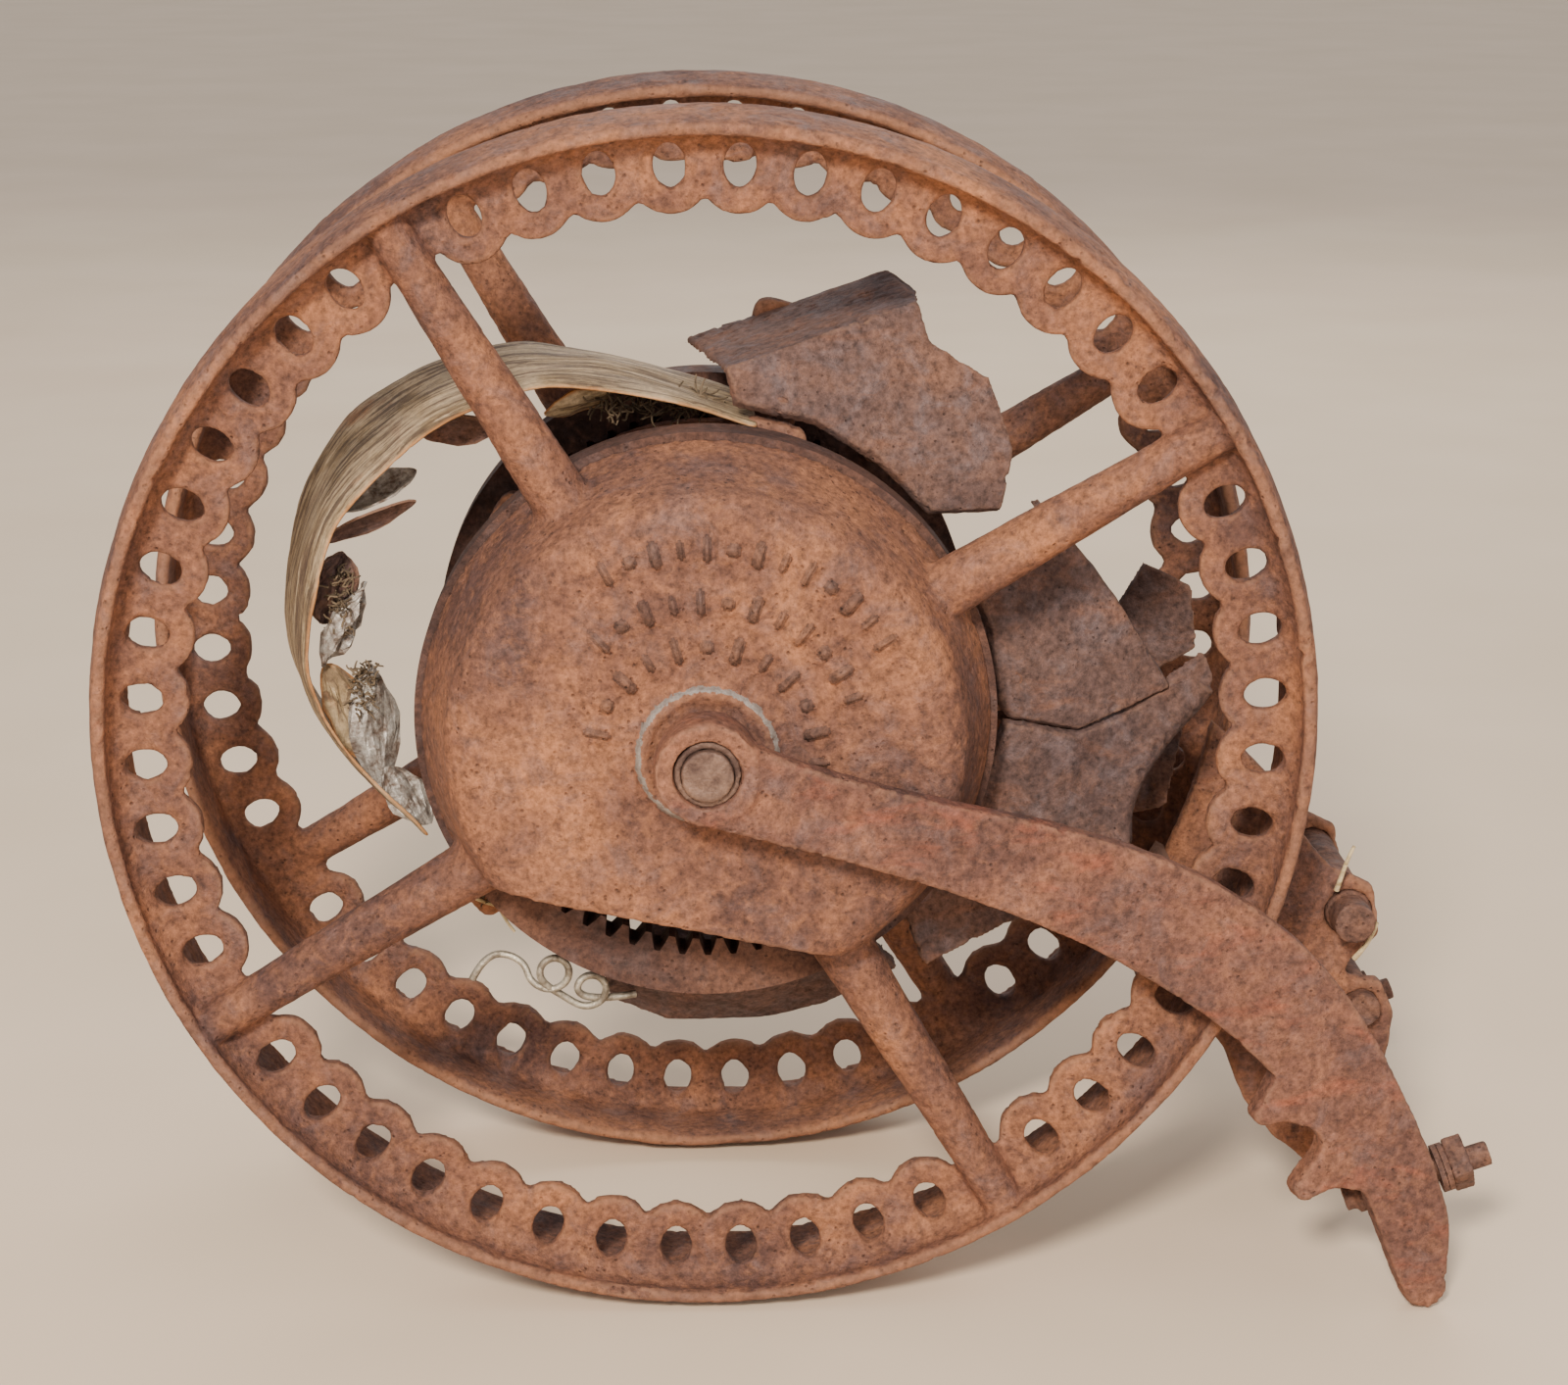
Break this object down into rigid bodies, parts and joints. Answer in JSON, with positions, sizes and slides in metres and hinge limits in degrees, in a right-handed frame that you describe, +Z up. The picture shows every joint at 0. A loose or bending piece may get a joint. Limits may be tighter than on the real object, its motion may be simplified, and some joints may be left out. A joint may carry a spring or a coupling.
{
  "type": "hand reel mower head",
  "caption": "Old cast-iron hand mower head: spoked wheels with perforated rims and gear drums, a bent-blade reel between them, and notched trailing arms.",
  "frame": {"origin": "on the ground, at the middle of the whole part's length and width", "axes": "+X from the wheels towards the tips of the arms, +Y along the axle away from the near side, +Z up"},
  "size_m": [0.3543, 0.202, 0.3048],
  "materials": {
    "cast_rust": "rusted, rough cast",
    "gear_iron": "dark, old grease and rust",
    "arm_rust": "rusted, rough cast",
    "plate_rust": "dark scaled rust",
    "steel_rust": "rusted steel",
    "worn_iron": "worn bright",
    "strip_patina": "streaked olive and brown patina",
    "wire_zinc": "dull galvanised"
  },
  "bodies": {
    "frame": {"axle": "worn_iron", "bed_knife": "plate_rust", "bed_knife_screws": "steel_rust", "handle_rod": "steel_rust", "lower_rod": "steel_rust", "tail_rod": "steel_rust", "near_gear_carrier": "steel_rust", "near_idler_stud": "steel_rust", "near_thrust_washer": "steel_rust", "near_tube_washer": "steel_rust", "near_axle_bush": "worn_iron", "near_arm": "arm_rust", "near_tail_bolt": "steel_rust", "near_tail_washers": "steel_rust", "near_tail_nut": "steel_rust", "near_side_bracket": "cast_rust", "far_gear_carrier": "steel_rust", "far_idler_stud": "steel_rust", "far_thrust_washer": "steel_rust", "far_tube_washer": "steel_rust", "far_axle_bush": "worn_iron", "far_arm": "arm_rust", "far_tail_bolt": "steel_rust", "far_tail_washers": "steel_rust", "far_tail_nut": "steel_rust", "far_side_bracket": "cast_rust"},
    "near_wheel_set": {"near_wheel": "cast_rust", "near_ring_gear": "gear_iron", "near_gear_rivets": "steel_rust"},
    "far_wheel_set": {"far_wheel": "cast_rust", "far_ring_gear": "gear_iron", "far_gear_rivets": "steel_rust"},
    "reel": {"reel_tube": "steel_rust", "near_reel_head": "cast_rust", "far_reel_head": "cast_rust", "near_sun_pinion": "gear_iron", "far_sun_pinion": "gear_iron", "near_drive_key": "steel_rust", "far_drive_key": "steel_rust", "top_blade": "plate_rust", "right_blade": "plate_rust", "twisted_blade": "plate_rust", "rear_blade": "plate_rust", "bottom_blade": "plate_rust", "curved_strip": "strip_patina", "strip_tabs": "strip_patina", "blade_rivets": "steel_rust", "loose_pin": "worn_iron", "wire_hook": "wire_zinc"},
    "near_idler": {"near_idler_gear": "gear_iron"},
    "far_idler": {"far_idler_gear": "gear_iron"}
  },
  "joints": [
    {"name": "near_wheel_spin", "type": "hinge", "parent": "frame", "child": "near_wheel_set", "pos_m": [-0.02476, 0, 0.1524], "axis": [0, 1, 0], "continuous": true},
    {"name": "far_wheel_spin", "type": "hinge", "parent": "frame", "child": "far_wheel_set", "pos_m": [-0.02476, 0, 0.1524], "axis": [0, 1, 0], "continuous": true},
    {"name": "reel_spin", "type": "hinge", "parent": "frame", "child": "reel", "pos_m": [-0.02476, 0, 0.1524], "axis": [0, 1, 0], "continuous": true},
    {"name": "near_idler_spin", "type": "hinge", "parent": "frame", "child": "near_idler", "pos_m": [-0.01644, 0, 0.19153], "axis": [0, 1, 0], "continuous": true},
    {"name": "far_idler_spin", "type": "hinge", "parent": "frame", "child": "far_idler", "pos_m": [-0.01644, 0, 0.19153], "axis": [0, 1, 0], "continuous": true}
  ],
  "couplings": [
    {"joint": "far_wheel_spin", "follows": "near_wheel_spin", "ratio": 1},
    {"joint": "reel_spin", "follows": "near_wheel_spin", "ratio": -3},
    {"joint": "near_idler_spin", "follows": "near_wheel_spin", "ratio": 3},
    {"joint": "far_idler_spin", "follows": "near_wheel_spin", "ratio": 3}
  ]
}
